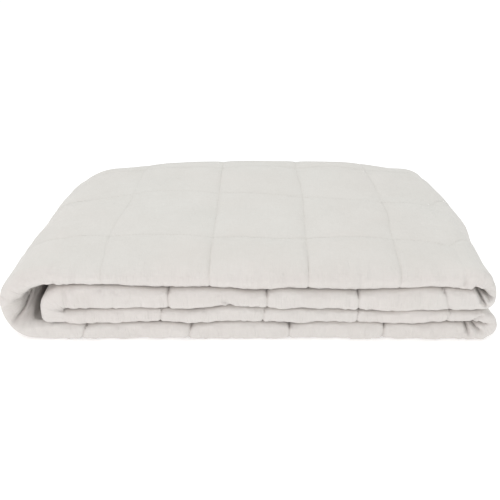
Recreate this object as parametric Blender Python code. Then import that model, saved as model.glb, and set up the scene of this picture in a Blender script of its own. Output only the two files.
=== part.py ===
"""A weighted blanket quilted in squares, folded flat. Metres, +Z up, the front fold towards -Y.

The cloth is folded in half twice across its width, so that each layer of the stack is a strip of four
plies with a smooth fold in front and the hems behind. The strip is then folded like a book: both ends come
to the middle, then the whole closes round them. It runs from the first hem through the second layer, up the
right fold into the top layer, round the left wrap into the bottom layer, and back in the third layer.
"""

import math
from collections import namedtuple

import bmesh
import bpy
import numpy as np

OBJECT = "quilted_weighted_blanket"

# The folded stack.
WIDTH = 0.512  # left wrap to right folds
DEPTH = 0.306  # front fold to back folds
TOP = 0.0863  # height of the top layer just behind its front fold
GAP = 0.0012  # between layers that lie on each other
MIDDLE_X = 0.0010  # the middle of the finished stack, from where the x of its layers count

# Height of the slits between the layers, seen from the front, one row for each half square.
SLITS = (
    # x, under the top layer, under the second, under the third
    (-0.200, 0.0646, 0.0364, 0.0220),
    (-0.160, 0.0654, 0.0374, 0.0194),
    (-0.120, 0.0648, 0.0392, 0.0210),
    (-0.090, 0.0624, 0.0386, 0.0220),
    (-0.062, 0.0634, 0.0362, 0.0192),
    (-0.020, 0.0618, 0.0424, 0.0233),
    (0.016, 0.0584, 0.0394, 0.0214),
    (0.040, 0.0610, 0.0378, 0.0191),
    (0.075, 0.0594, 0.0380, 0.0220),
    (0.112, 0.0588, 0.0366, 0.0214),
    (0.140, 0.0604, 0.0349, 0.0189),
    (0.175, 0.0627, 0.0354, 0.0194),
    (0.205, 0.0620, 0.0366, 0.0224),
    (0.235, 0.0624, 0.0367, 0.0220),
)

# Where the folds of the strip start.
CURL_X = -0.188  # the first hem curls down to the left of this
CURL_REACH = 0.0165
CURL_HEM_Z = 0.0235
CURL_HALF = 0.0090  # half thickness of the hem that curls down
LAST_HEM_X = -0.1951

# Half turns of the strip: where each leaves its first layer and meets its last one, how far out its outer and
# inner faces stand, the height where the outer one does, and how square that face is before and after.
Fold = namedtuple("Fold", "part first first_x last last_x outer_x outer_z inner_x squareness squareness_after")
FOLDS = (
    Fold("upper fold", "second", 0.2350, "top", 0.2180, 0.2515, 0.0525, 0.2370, 2.7, 2.25),
    Fold("wrap", "top", -0.1990, "bottom", -0.2235, -0.2554, 0.0410, -0.2335, 2.0, 2.4),
    Fold("lower fold", "bottom", 0.2410, "third", 0.2350, 0.2580, 0.0185, 0.2440, 2.3, 2.0),
)
UPPER_FOLD, WRAP, LOWER_FOLD = FOLDS

# Quilting lines that run front to back, by the layer that they cross.
LINES_ACROSS = {
    "second": (-0.189, -0.083, 0.018, 0.111, 0.200),
    "top": (0.152, 0.060, -0.040, -0.148),
    "bottom": (-0.174, -0.062, 0.042, 0.139),
    "third": (0.205, 0.111, 0.016, -0.090),
}
LINES_ALONG = (0.060, 0.160, 0.258)  # quilting lines that run along the strip, by depth from the front
LINE_HALF_WIDTH = 0.0058
LINE_DIP = 0.0015
FRONT_PINCH = 0.0032  # how far a line draws the front fold in
FRONT_SQUEEZE = 0.20  # share of the front fold's thickness that a line takes away

# The rounded front fold and the back of a strip: depth from the front or back, and share of half thickness.
FRONT_ROUND = 0.0095
FRONT_POWER = {"top": 1.9, "wrap": 2.2}  # 2 is an ellipse, and the other layers are pressed squarer
PRESSED_POWER = 3.2
FRONT_ANGLES = (60, 35, 12, -12, -35, -60)
FACE_ROWS = (0.0095, 0.032, 0.053, 0.060, 0.067, 0.108, 0.153, 0.160, 0.167, 0.212, 0.251, 0.258, 0.265, 0.284)
BACK_LIPS = (
    # back from the deepest point, share of half thickness from the inner face out
    (0.0070, -1.00),
    (0.0020, -0.84),
    (0.0000, -0.50),
    (0.0020, -0.18),
    (0.0100, -0.05),
    (0.0060, 0.10),
    (0.0045, 0.27),
    (0.0065, 0.44),
    (0.0130, 0.53),
    (0.0110, 0.64),
    (0.0100, 0.80),
    (0.0125, 1.00),
)

# The pile is crowned, and sinks and narrows towards the back.
CROWN = ((0.0, 1.0), (0.05, 1.04), (0.10, 1.055), (0.18, 1.06), (0.24, 1.035), (0.28, 0.975), (0.306, 0.90))
SIDE_SINK = (
    # from the middle, share of the height lost at the back on the left and on the right
    (0.00, 0.000, 0.000),
    (0.08, 0.020, 0.012),
    (0.12, 0.052, 0.021),
    (0.15, 0.098, 0.050),
    (0.17, 0.126, 0.088),
    (0.20, 0.152, 0.145),
)
NARROWING = (
    # depth from the front, how far the left side and the right side come in
    (0.00, 0.000, 0.000),
    (0.03, 0.001, 0.000),
    (0.09, 0.0045, 0.0010),
    (0.17, 0.0093, 0.0055),
    (0.24, 0.0126, 0.0108),
    (0.306, 0.0185, 0.0165),
)

HEM_ROUND, LAST_HEM_ROUND = 0.0055, 0.0025  # length over which the strip closes at its two hems
HEM_DRAW = 0.0020  # how far the first hem is drawn back from the front
HEM_BACK = (0.2900, 0.3020)  # depths between which the back of a hem closes
STRAIGHT_STEP = 0.034
FOLD_STEP = 0.0055
WRAP_STEP = 0.0090

CLOTH_COLOUR = (0.74, 0.71, 0.67, 1.0)


def slit(column, x):
    """Height of one slit at x: 1 is under the top layer, 2 under the second, 3 under the third."""
    return float(np.interp(x, [row[0] for row in SLITS], [row[column] for row in SLITS]))


def layer_edges(layer, x):
    """Lowest and highest height of a layer of the stack at x."""
    return {
        "top": (slit(1, x) + GAP / 2, TOP),
        "second": (slit(2, x) + GAP / 2, slit(1, x) - GAP / 2),
        "third": (slit(3, x) + GAP / 2, slit(2, x) - GAP / 2),
        "bottom": (0.0, slit(3, x) - GAP / 2),
    }[layer]


def layer_middle(layer, x):
    low, high = layer_edges(layer, x)
    return (low + high) / 2


def straight(layer, start, end, outer):
    """Sections of a layer that lies flat. outer is +1 where the outer face of the strip is up."""
    sections = []
    for x in np.linspace(start, end, 1 + round(abs(end - start) / 0.002)):
        low, high = layer_edges(layer, x)
        sections.append((x, (low + high) / 2, 0.0, outer, (high - low) / 2, layer))
    return sections


def facing_edges(fold, first_x, last_x):
    """Heights of the outer and of the inner face of a fold's two layers, at one x for each layer."""
    first, last = layer_edges(fold.first, first_x), layer_edges(fold.last, last_x)
    if first[0] < last[0]:
        return (first[0], last[1]), (first[1], last[0])
    return (first[1], last[0]), (first[0], last[1])


def bend(fold):
    """Sections of a half turn between two layers, its outer face on one curve and its inner face on another."""
    sections = []
    for share in np.linspace(0, 1, 46)[1:-1]:
        late = int(share > 0.5)
        across, along = math.sin(math.pi * share), abs(math.cos(math.pi * share))
        start = (fold.first_x, fold.last_x)[late]
        inner_x = start + (fold.inner_x - start) * across
        inner_ends = facing_edges(fold, inner_x, inner_x)[1]
        middle = sum(inner_ends) / 2
        inner_z = middle + (inner_ends[late] - middle) * along
        curve = 2 / (fold.squareness, fold.squareness_after)[late]
        outer_end = facing_edges(fold, fold.first_x, fold.last_x)[0][late]
        outer_x = start + (fold.outer_x - start) * across**curve
        outer_z = fold.outer_z + (outer_end - fold.outer_z) * along**curve
        reach_x, reach_z = (outer_x - inner_x) / 2, (outer_z - inner_z) / 2
        half = math.hypot(reach_x, reach_z)
        x, z = inner_x + reach_x, inner_z + reach_z
        sections.append((x, z, reach_x / half, reach_z / half, half, fold.part))
    return sections


def curled_hem():
    """The first hem: it stands on the bottom layer and curls over the end of the third one."""
    top = layer_middle("second", CURL_X)
    low, high = layer_edges("second", CURL_X)
    foot = CURL_HEM_Z + 0.0135
    hem = CURL_X - CURL_REACH
    sections = [(hem, z, 1.0, 0.0, CURL_HALF, "curl") for z in np.linspace(CURL_HEM_Z, foot, 5)]
    for share in np.linspace(0, 1, 16)[1:-1]:
        angle = math.radians(180 - 90 * share)
        x = CURL_X + CURL_REACH * math.cos(angle)
        z = foot + (top - foot) * math.sin(angle)
        half = CURL_HALF + share * ((high - low) / 2 - CURL_HALF)
        sections.append((x, z, -math.cos(angle), -math.sin(angle), half, "curl"))
    return sections


def strip_sections():
    """The middle line of the strip: length, x, z, outward normal in x and z, half thickness, and part names."""
    sections = curled_hem()
    sections += straight("second", CURL_X, UPPER_FOLD.first_x, -1.0)
    sections += bend(UPPER_FOLD)
    sections += straight("top", UPPER_FOLD.last_x, WRAP.first_x, 1.0)
    sections += bend(WRAP)
    sections += straight("bottom", WRAP.last_x, LOWER_FOLD.first_x, -1.0)
    sections += bend(LOWER_FOLD)
    sections += straight("third", LOWER_FOLD.last_x, LAST_HEM_X, 1.0)
    parts = [section[5] for section in sections]
    table = np.array([section[:5] for section in sections])
    steps = np.hypot(*np.diff(table[:, :2], axis=0).T)
    length = np.concatenate([[0.0], np.cumsum(steps)])
    return np.column_stack([length, table]), parts


def line_lengths(table, parts):
    """Where each quilting line that runs front to back crosses the strip, as a length along it."""
    found = []
    for layer, places in LINES_ACROSS.items():
        rows = [i for i, part in enumerate(parts) if part == layer]
        for x in places:
            found.append(table[min(rows, key=lambda i: abs(table[i, 1] - x)), 0])
    for fold in FOLDS:
        rows = [i for i, part in enumerate(parts) if part == fold.part]
        found.append(table[rows[len(rows) // 2], 0])
    return sorted(found)


def station_lengths(table, parts, lines):
    """Lengths along the strip that get a ring of points: the lines, both sides of each, and even steps between."""
    end = table[-1, 0]
    marks = {0.0, 0.4 * HEM_ROUND, HEM_ROUND, end - LAST_HEM_ROUND, end}
    for line in lines:
        marks.update((line - LINE_HALF_WIDTH, line, line + LINE_HALF_WIDTH))
    marks.update(table[i, 0] for i in range(1, len(parts)) if parts[i] != parts[i - 1])
    kept = []
    for mark in sorted(marks):
        if kept and mark - kept[-1] < 0.0021:
            if mark in lines:
                kept[-1] = mark
            continue
        kept.append(mark)
    stations = [kept[0]]
    for before, after in zip(kept, kept[1:]):
        part = parts[int(np.searchsorted(table[:, 0], (before + after) / 2)) - 1]
        step = {"upper fold": FOLD_STEP, "lower fold": FOLD_STEP, "wrap": WRAP_STEP, "curl": FOLD_STEP}
        count = math.ceil((after - before) / step.get(part, STRAIGHT_STEP) - 0.1)
        stations += list(np.linspace(before, after, max(1, count) + 1)[1:])
    return stations


def ring_rows():
    """Points round the strip: depth from the front, share of half thickness, and how much is front fold."""
    outer = [(depth, 1.0, 0.0) for depth in reversed(FACE_ROWS)]
    front = []
    for angle in FRONT_ANGLES:
        turn = math.radians(angle)
        front.append((FRONT_ROUND * (1 - math.cos(turn)), math.sin(turn), 1.0))
    inner = [(depth, -1.0, 0.0) for depth in FACE_ROWS]
    back = [(DEPTH - behind, share, 0.0) for behind, share in BACK_LIPS]
    return outer + front + inner + back


def settle(x, depth, z):
    """Crowns the pile, lets it sink at the back and draws its sides in there."""
    rise = np.interp(depth, *zip(*CROWN))
    aside, sunk_left, sunk_right = zip(*SIDE_SINK)
    sink = np.interp(abs(x), aside, sunk_left if x < 0 else sunk_right) * (max(depth, 0.0) / DEPTH) ** 1.6
    depths, left, right = zip(*NARROWING)
    inset = np.interp(depth, depths, left if x < 0 else right)
    outward = np.clip((abs(x) - 0.10) / (WIDTH / 2 - 0.10), 0, 1)
    shift = inset * outward * outward * (3 - 2 * outward)
    return x - math.copysign(shift, x) - MIDDLE_X, depth - DEPTH / 2, z * rise * (1 - sink)


def pressed(depth, share, power):
    """A point of the front fold moved from a circle's quarter to a squarer one."""
    down = 1 - depth / FRONT_ROUND
    return FRONT_ROUND * (1 - down ** (2 / power)), math.copysign(abs(share) ** (2 / power), share)


def hem_depths(rows):
    """The depth at which each row meets the one across the strip, where a hem closes it."""
    faces = [depth for depth, _, _ in rows[: -len(BACK_LIPS)]]
    behind = list(np.linspace(*HEM_BACK, len(BACK_LIPS) // 2))
    return faces + behind + behind[::-1]


def strip_point(table, length, row, meet, lines, power):
    """One point of the strip's surface. meet is its depth where a hem closes the strip."""
    depth, share, front = row
    if front:
        depth, share = pressed(depth, share, power if share > 0 else PRESSED_POWER)
    x, z, normal_x, normal_z, half = (np.interp(length, table[:, 0], table[:, k]) for k in range(1, 6))
    near_line = max(0.0, 1 - min(abs(length - line) for line in lines) / (1.1 * LINE_HALF_WIDTH))
    near_row = max(0.0, 1 - min(abs(depth - along) for along in LINES_ALONG) / (1.1 * LINE_HALF_WIDTH))
    reach = half * share * (1 - FRONT_SQUEEZE * near_line * front)
    if front == 0.0:
        reach -= math.copysign(LINE_DIP * max(near_line, near_row), share)
    depth += FRONT_PINCH * near_line * front
    to_hem = min(length / HEM_ROUND, (table[-1, 0] - length) / LAST_HEM_ROUND)
    if to_hem < 1:
        closing = math.sqrt(max(0.0, 1 - (1 - to_hem) ** 2))
        reach *= closing
        depth = depth * closing + meet * (1 - closing)
        if length < HEM_ROUND:
            depth += HEM_DRAW * (1 - closing) * front
    return settle(x + normal_x * reach, depth, z + normal_z * reach)


def fold_blanket():
    """A flat grid of cloth, rolled into a strip of its plies and folded, then sewn where its edges meet."""
    table, parts = strip_sections()
    lines = line_lengths(table, parts)
    stations = station_lengths(table, parts, lines)
    rows = ring_rows()
    columns = len(rows)
    meets = hem_depths(rows)
    part_powers = [FRONT_POWER.get(part, PRESSED_POWER) for part in parts]
    powers = np.interp(stations, table[:, 0], part_powers)
    mesh = bmesh.new()
    made = bmesh.ops.create_grid(mesh, x_segments=columns, y_segments=len(stations) - 1, size=0.5)
    for vertex in made["verts"]:
        column = round((vertex.co.x + 0.5) * columns) % columns
        station = round((vertex.co.y + 0.5) * (len(stations) - 1))
        power = powers[station]
        vertex.co = strip_point(table, stations[station], rows[column], meets[column], lines, power)
    bmesh.ops.remove_doubles(mesh, verts=mesh.verts, dist=0.00001)
    bmesh.ops.recalc_face_normals(mesh, faces=mesh.faces)
    return mesh


def cloth_material():
    material = bpy.data.materials.new("off_white_cotton")
    material.use_nodes = True
    shader = material.node_tree.nodes["Principled BSDF"]
    shader.inputs["Base Color"].default_value = CLOTH_COLOUR
    shader.inputs["Roughness"].default_value = 0.9
    shader.inputs["Metallic"].default_value = 0.0
    return material


def main():
    for item in list(bpy.data.objects):
        bpy.data.objects.remove(item, do_unlink=True)
    collection = bpy.data.collections.new(OBJECT)
    bpy.context.scene.collection.children.link(collection)
    mesh = bpy.data.meshes.new("quilted_blanket")
    folded = fold_blanket()
    folded.to_mesh(mesh)
    folded.free()
    mesh.shade_smooth()
    mesh.set_sharp_from_angle(angle=math.radians(50))
    blanket = bpy.data.objects.new("quilted_blanket", mesh)
    blanket.data.materials.append(cloth_material())
    collection.objects.link(blanket)


main()
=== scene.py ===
"""A quilted weighted blanket of off-white cotton, folded into a flat stack. In metres, +Z up.

The front fold lies towards -Y. The blanket is a strip of folded cloth that runs from its first hem through
the second layer of the stack, up the right fold into the top layer, round the left wrap into the bottom
layer, and back in the third layer to its last hem. Every point of the cloth has a place along that strip and
a place round it. Its seams, puckers and creases are laid down in those two directions.
"""

import math
from collections import namedtuple

import bpy
import numpy as np
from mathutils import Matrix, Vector


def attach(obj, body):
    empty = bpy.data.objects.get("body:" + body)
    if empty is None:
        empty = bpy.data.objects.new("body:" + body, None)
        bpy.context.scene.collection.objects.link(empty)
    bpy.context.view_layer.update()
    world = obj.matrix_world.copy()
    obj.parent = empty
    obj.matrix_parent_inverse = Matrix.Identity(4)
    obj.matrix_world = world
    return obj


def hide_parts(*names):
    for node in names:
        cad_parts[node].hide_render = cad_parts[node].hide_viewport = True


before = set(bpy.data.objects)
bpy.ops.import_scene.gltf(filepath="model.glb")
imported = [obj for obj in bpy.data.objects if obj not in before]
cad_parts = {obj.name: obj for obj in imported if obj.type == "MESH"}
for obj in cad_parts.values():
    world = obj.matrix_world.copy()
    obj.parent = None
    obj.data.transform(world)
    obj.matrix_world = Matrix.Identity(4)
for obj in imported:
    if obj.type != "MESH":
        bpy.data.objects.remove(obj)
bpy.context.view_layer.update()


def metres(table):
    """Turns a table in millimetres into one in metres."""
    if isinstance(table, tuple):
        return tuple(metres(part) for part in table)
    return table / 1000


# --- The folded stack ---

BLANKET = "quilted_blanket"
DEPTH = 0.306  # front fold to back folds
WIDTH = 0.512  # left wrap to right folds
TOP = 0.0863  # height of the top layer just behind its front fold
GAP = 0.0005  # between layers that lie on each other
MIDDLE_X = 0.0010  # the middle of the finished stack, from where the x of its layers count

# Height of the slits between the layers at the front.
SLITS = metres((
    # x, under the top layer, under the second, under the third
    (-200, 64.6, 36.4, 22),
    (-160, 65.4, 37.4, 19.4),
    (-120, 64.8, 39.2, 21),
    (-90, 62.4, 38.6, 22),
    (-62, 63.4, 36.2, 19.2),
    (-20, 61.8, 42.4, 23.3),
    (16, 58.4, 39.4, 21.4),
    (40, 61, 37.8, 19.1),
    (75, 59.4, 38, 22),
    (112, 58.8, 36.6, 21.4),
    (140, 60.4, 34.9, 18.9),
    (175, 62.7, 35.4, 19.4),
    (205, 62, 36.6, 22.4),
    (235, 62.4, 36.7, 22),
))
SLIT_SOFTNESS = 0.005  # length over which the slits' bends are rounded off
SLIT_WANDER = 0.0006  # how far a slit strays up and down from that line
SLIT_WANDER_LENGTH = 0.017

CURL_X = -0.188  # the first hem curls down to the left of this
CURL_REACH = 0.0165
CURL_STAND = 0.0135  # the height over which it stands upright
CURL_SQUARED = (0.0084, 0.0224)  # the lengths between which its front turns from square to round
CURL_HEM_Z = 0.0228
CURL_HALF = 0.0090  # half thickness of the hem that curls down
CURL_LIP = 0.0062  # how far its front edge laps over the end of the third layer
LAST_HEM_BACK = 0.0026  # how far that end is drawn back from the front
LAST_HEM_REACH = 0.0090
LAST_HEM_SQUARED = 0.0040
LAST_HEM_X = -0.1954

# Half turns of the strip: where each leaves its first layer and meets its last one, how far out its outer and
# inner faces stand, the height where the outer one does, and how square that face is before and after.
Fold = namedtuple(
    "Fold", "part first first_x last last_x outer_x outer_z inner_x squareness squareness_after"
)
FOLDS = (
    Fold("upper fold", "second", 0.2350, "top", 0.2180, 0.2515, 0.0525, 0.2370, 2.7, 2.25),
    Fold("wrap", "top", -0.1990, "bottom", -0.2235, -0.2554, 0.0410, -0.2335, 2.0, 2.4),
    Fold("lower fold", "bottom", 0.2410, "third", 0.2350, 0.2580, 0.0185, 0.2440, 2.3, 2.0),
)
UPPER_FOLD, WRAP, LOWER_FOLD = FOLDS
TOP_LAYER_Z = 0.066  # the strip's middle lies higher than this in the top layer only

# The pile is crowned, and sinks and narrows towards the back.
CROWN = ((0.0, 1.0), (0.05, 1.04), (0.10, 1.055), (0.18, 1.06), (0.24, 1.035), (0.28, 0.975), (0.306, 0.90))
SIDE_SINK = (
    # from the middle, share of the height lost at the back on the left and on the right
    (0.00, 0.000, 0.000),
    (0.08, 0.020, 0.012),
    (0.12, 0.052, 0.021),
    (0.15, 0.098, 0.050),
    (0.17, 0.126, 0.088),
    (0.20, 0.152, 0.145),
    (0.24, 0.180, 0.165),
)
SINK_POWER = 1.6  # it sinks faster and faster towards the back
STEADY_WIDTH = 0.10  # this far from the middle the pile doesn't narrow
NARROWING = metres((
    # depth from the front, how far the left side and the right side come in
    (0, 0, 0),
    (25, 0.8, -3.4),
    (55, 2.2, -4.6),
    (90, 3.8, -3.4),
    (120, 5.2, 0),
    (170, 7.8, 4),
    (240, 9.4, 9.8),
    (306, 18.5, 16.5),
))

# --- The quilting ---

# Seams that run front to back: layer, x at the front, how far the seam's foot lies to the right of its head
# on the front face, and how deep it is sewn in.
SEAMS_ACROSS = (
    ("second", -0.1890, 0.0000, 0.12),
    ("second", -0.0815, -0.0012, 1.00),
    ("second", 0.0185, 0.0002, 1.00),
    ("second", 0.1115, 0.0016, 0.95),
    ("second", 0.2015, 0.0095, 0.75),
    ("top", 0.1520, 0.0000, 0.85),
    ("top", 0.0600, 0.0000, 0.95),
    ("top", -0.0393, 0.0000, 0.95),
    ("top", -0.1466, 0.0000, 0.40),
    ("bottom", -0.1725, -0.0080, 0.85),
    ("bottom", -0.0622, -0.0050, 0.95),
    ("bottom", 0.0419, -0.0006, 0.95),
    ("bottom", 0.1400, -0.0010, 1.00),
    ("third", 0.2050, -0.0040, 0.75),
    ("third", 0.1116, -0.0012, 0.95),
    ("third", 0.0150, -0.0030, 1.00),
    ("third", -0.0905, -0.0030, 0.95),
)
# How far a seam draws in the outer and the inner face of each layer, where the layers press on each other.
SEAM_SHARES = {"top": (1.0, 0.3), "second": (0.35, 1.25), "third": (0.6, 0.6), "bottom": (0.7, 1.3)}
FOLD_SEAMS = ("upper fold", "wrap", "lower fold")  # a seam runs along the middle of each
FOLD_SEAM_DEPTH = 0.35
FOLD_SEAM_SHARES = (1.0, 0.6)

# Where the seams across the top layer wander: depth from the front, and how far each one strays to the right.
TOP_SEAM_STRAY = metres((
    # depth, then the stray of each seam of the top layer in the order of the table above
    (0, 0, 0, 0, 0),
    (52, 0.8, -0.4, 0.4, -3),
    (74, 1.2, 0, 0.6, -4),
    (115, 4, 1, 1, -0.5),
    (160, 3, 1.6, 1, 5),
    (200, 2.8, 0.4, 0.6, 4.8),
    (246, 1.6, -2, 0.4, 3),
))
SEAMS_ALONG = (0.060, 0.160, 0.258)  # by depth from the front
SEAM_ALONG_DEPTH = 0.8
SECOND_FAINT = 0.30  # share of that depth of the second of them on the top layer
FIRST_FAINT = 0.22  # and of the first one, to the left of x = -0.045
# The first two of them on the top layer, where they aren't straight.
TOP_SEAMS_ALONG = metres((
    # x, depth of the first, depth of the second
    (-250, 61, 148),
    (-211, 61.5, 150.8),
    (-110, 61.5, 174.2),
    (-7, 60, 165.8),
    (27, 56.5, 162),
    (43, 57.2, 160.3),
    (88, 59.6, 154),
    (107, 59.7, 150),
    (154, 56.1, 146.5),
    (189, 49.1, 143),
    (232, 40, 137.6),
))

SEAM_DIP = 0.0016  # how deep a seam lies in a face of the blanket
CORNER_DIP = 0.0020  # and how much deeper beside a slit, where the corners of two squares round off
CORNER_PINCH = 0.0042  # how far those corners are drawn back from the front
PINCH_DEPTH = 0.020
CORNER_REACH = 0.0012
CORNER_DEPTH = 0.012  # depth from the front over which the corners round off
SEAM_NARROW = 0.0011  # half widths of a seam's trough and of the slope beside it
SEAM_WIDE = 0.0075
FRONT_PINCH = 0.0030  # how far a seam draws the front fold in
PUCKER = 0.00045  # height of the small puckers along a seam
PUCKER_LENGTH = 0.0055
PUCKER_REACH = 0.0090
HEM_FADE = 0.008  # length from a hem over which puckers and lumps fade out

# --- Creases of the front ---

# The mouth of the wrap: the front puffs out towards the hollow and rounds into it. The rim of the top layer
# hangs over a fold that runs in to a valley, and comes out again below it.
MOUTH_PUFF = 0.0185
MOUTH_ROUND = 0.0240
MOUTH_POWER = 1.45  # less than 2, so the cloth turns into the hollow early
MOUTH_DEPTH = 0.030
MOUTH_FADE = 0.090  # depth over which the inner face comes forward again
PUFF_DEPTH = 0.040  # how deep the cloth stays puffed out towards the hollow
RIM = metres((
    # x, height
    (-252, 42.5),
    (-241.7, 45.2),
    (-231.1, 50.2),
    (-221.3, 55),
    (-213.1, 58.6),
    (-195, 64.5),
))
RIM_STEP = 0.0085  # how deep the cloth lies just below the rim
VALLEY = metres((
    # height, x
    (13, -253),
    (19.5, -245.5),
    (24, -241),
    (30.5, -235.5),
    (40, -231),
    (48.5, -228.5),
    (53, -226.5),
))
VALLEY_DEPTH = 0.0130  # and in the valley
VALLEY_REACH = metres((
    # height, how far the valley goes on to the right
    (16, 6),
    (24, 12),
    (33, 30),
    (44, 60),
))
HOLLOW_DEPTH = 0.008  # how much deeper it gets there, above a height of 0.020 m

FRONT_CREASES = metres((
    # width, depth, points as x and height from the deep end
    (1.2, 12, ((-225.5, 56), (-228, 50), (-230.6, 41), (-235.5, 30.5), (-241.5, 23.5), (-247.5, 18))),
    (1.9, 15, ((228.5, 64), (233.5, 60.8), (239.3, 57), (242.2, 54), (248, 53))),
    (1.6, 12, ((230, 61.5), (234.5, 54.5), (239, 47), (243, 41))),
    (3, 1.6, ((215, 69), (216.5, 73), (217, 77))),
    (1.4, 2.4, ((224.5, 65), (226.2, 67.5), (227, 70))),
    (1.7, 9.5, ((222.5, 23.5), (225, 18), (227.2, 12), (230, 5))),
    (1.6, 8, ((227.5, 23.5), (231.8, 19), (237.5, 14), (245, 8))),
    (1.3, 7, ((229, 23.5), (235, 23.2), (241, 22.2))),
    (1.6, 3, ((229, 25), (233, 28.5), (238.5, 31), (244, 31.5))),
    (2, 1.6, ((-213, 22.5), (-212.2, 17.5), (-210, 11), (-207.5, 7))),
    (1.8, 1.4, ((-204, 21.5), (-202, 18), (-199, 15))),
    (1.5, 2.2, ((-18, 43), (-22.5, 47.5), (-26.9, 50.5), (-31, 56.5), (-33.6, 59.5))),
    (1.4, 1.2, ((26.8, 21.5), (27.5, 13), (28, 4.7))),
    (1.4, 1.2, ((36.1, 21.5), (36.2, 14), (36.3, 7.3))),
    (1.4, 1.2, ((-150, 61.5), (-146, 56), (-144, 50))),
    (1.6, 2.4, ((-196.5, 65), (-195.5, 70), (-194.5, 74))),
    (1.8, 1.2, ((-180, 65), (-179.8, 72))),
    (1.6, 1, ((-138, 61), (-129, 55), (-122, 48), (-118, 42))),
    (1.4, 1, ((-186, 60), (-184.5, 54), (-185, 47), (-186.2, 41))),
))
# Places where the stations stand closer together for them.
CREASED_PLACES = (("bottom", 0.223), ("bottom", 0.228), ("bottom", 0.234), ("second", 0.229), ("top", 0.216))
TOP_CREASES = metres((
    # width, depth, points as x and depth from the front
    (4.5, 1, ((-165, 150), (-195, 125), (-222, 103), (-248, 88))),
    (5.5, 0.9, ((-170, 185), (-200, 160), (-228, 135), (-246, 120))),
    (4, 0.7, ((-150, 120), (-180, 105), (-210, 92), (-243, 79))),
    (4, 0.6, ((-71, 208), (-100, 209), (-127, 206))),
    (6, 0.6, ((-26.5, 74.7), (-22, 78))),
    (6, 0.6, ((27.7, 88.4), (33, 85))),
    (5.5, 0.6, ((65.2, 74.7), (70, 79))),
    (6, 0.6, ((120.9, 88.4), (126, 84))),
    (6, 0.6, ((-115.6, 93.1), (-110, 96))),
    (6, 0.5, ((80.7, 167.2), (86, 170))),
    (5.5, 0.6, ((1.3, 26.2), (4, 31))),
    (5.5, 0.6, ((86.9, 20.3), (88, 26))),
))
CREASE_BANK = 0.06  # height of the banks beside a crease, as a share of its depth
BANK_AWAY, BANK_WIDTH = 2.2, 1.4  # how far from the crease they lie and how wide they are, in its widths
CORE_WIDTH = 0.6  # width of its core of painted shade, in its widths
CORE_DEPTH = 0.010  # a crease as deep as this has a core of wholly dark painted shade

FRONT_WANDER = 0.0009  # how far the front strays in and out from one square to the next
WANDER_LENGTH = 0.045
SOFT_LUMP = 0.0007  # height of the uneven filling
LUMP_LENGTH = 0.032
FINE_PUCKER = 0.00120  # height of the fine upright puckers of the front
FINE_PUCKER_LENGTH = 0.0045

# --- Round the strip ---

FRONT_ROUND = 0.0095
TOP_ROUND = 0.0180  # how much further back the top layer rounds over
TOP_ROUND_FADE = 0.026  # depth over which its rows close up again
TOP_POWER = 2.5  # and how softly it starts
FRONT_POWER = {"top": 1.9, "wrap": 2.2}  # 2 is an ellipse, and the other layers are pressed squarer
HEM_POWER = 9.0  # where the two hems meet in front
SEAM_POWER = 2.1  # at a seam
PRESSED_POWER = 3.6
FACE_END = 0.284  # depth where a face of the strip meets its back
BACK_LIPS = (
    # back from the deepest point, share of half thickness from the inner face out
    (0.0070, -1.00),
    (0.0020, -0.84),
    (0.0000, -0.50),
    (0.0020, -0.18),
    (0.0100, -0.05),
    (0.0060, 0.10),
    (0.0045, 0.27),
    (0.0065, 0.44),
    (0.0130, 0.53),
    (0.0110, 0.64),
    (0.0100, 0.80),
    (0.0125, 1.00),
)
HEM_ROUND, LAST_HEM_ROUND = 0.0060, 0.0008  # length over which the strip closes at its two hems
HEM_SQUARE = 0.20  # the side of the first hem that lies against the third layer closes in this share of it
HEM_BACK = (0.2900, 0.3020)  # depths between which the back of a hem closes

OUTER_ROWS = 48
FRONT_ROWS = 36
INNER_ROWS = 14
STATIONS = 850
# Their steps: coarse, fine at a mark, and how far that mark reaches.
OUTER_STEPS = (0.0070, 0.0022, 0.012)
INNER_STEPS = (0.0300, 0.0026, 0.030)
STATION_STEPS = (0.0036, 0.0009, 0.0055)
FOLD_MARKS = 15  # marks along each half turn
BEND_POINTS, CURL_POINTS, FOOT_POINTS = 92, 32, 10  # points of the middle line in a half turn and in the curl
EVENED = 20  # points of it on either side over which its roundness goes from one part to the next

SEED = 7


def ramp(value, start=0.0, end=1.0):
    """Goes softly from 0 at the start to 1 at the end."""
    value = np.clip((value - start) / (end - start), 0.0, 1.0)
    return value * value * (3 - 2 * value)


def soften(values, rounds):
    """Evens out values along their first axis, apart from the two ends."""
    for _ in range(rounds):
        values[1:-1] = (values[:-2] + 2 * values[1:-1] + values[2:]) / 4


def look_up(table, place, column=1):
    """What one column of a table says at a place of its first column."""
    return np.interp(place, [row[0] for row in table], [row[column] for row in table])


def soft_noise(u, v, seed):
    """Noise from -1 to 1 over the plane, with a cell of one unit."""
    size = 64
    grid = np.random.default_rng(SEED + seed).uniform(-1, 1, (size, size))
    u, v = np.broadcast_arrays(u, v)
    column, row = np.floor(u).astype(int), np.floor(v).astype(int)
    right, up = ramp(u - column), ramp(v - row)
    low, high = (
        grid[line % size, column % size] * (1 - right) + grid[line % size, (column + 1) % size] * right
        for line in (row, row + 1)
    )
    return low * (1 - up) + high * up


def slit(column, x):
    """Height of one slit at x: 1 is under the top layer, 2 under the second, 3 under the third."""
    height = 0.0
    for step, weight in ((-1.4, 0.15), (-0.7, 0.2), (0.0, 0.3), (0.7, 0.2), (1.4, 0.15)):
        height = height + weight * look_up(SLITS, x + step * SLIT_SOFTNESS, column)
    return height + SLIT_WANDER * soft_noise(x / SLIT_WANDER_LENGTH, 7.3 * column, 11)


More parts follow.
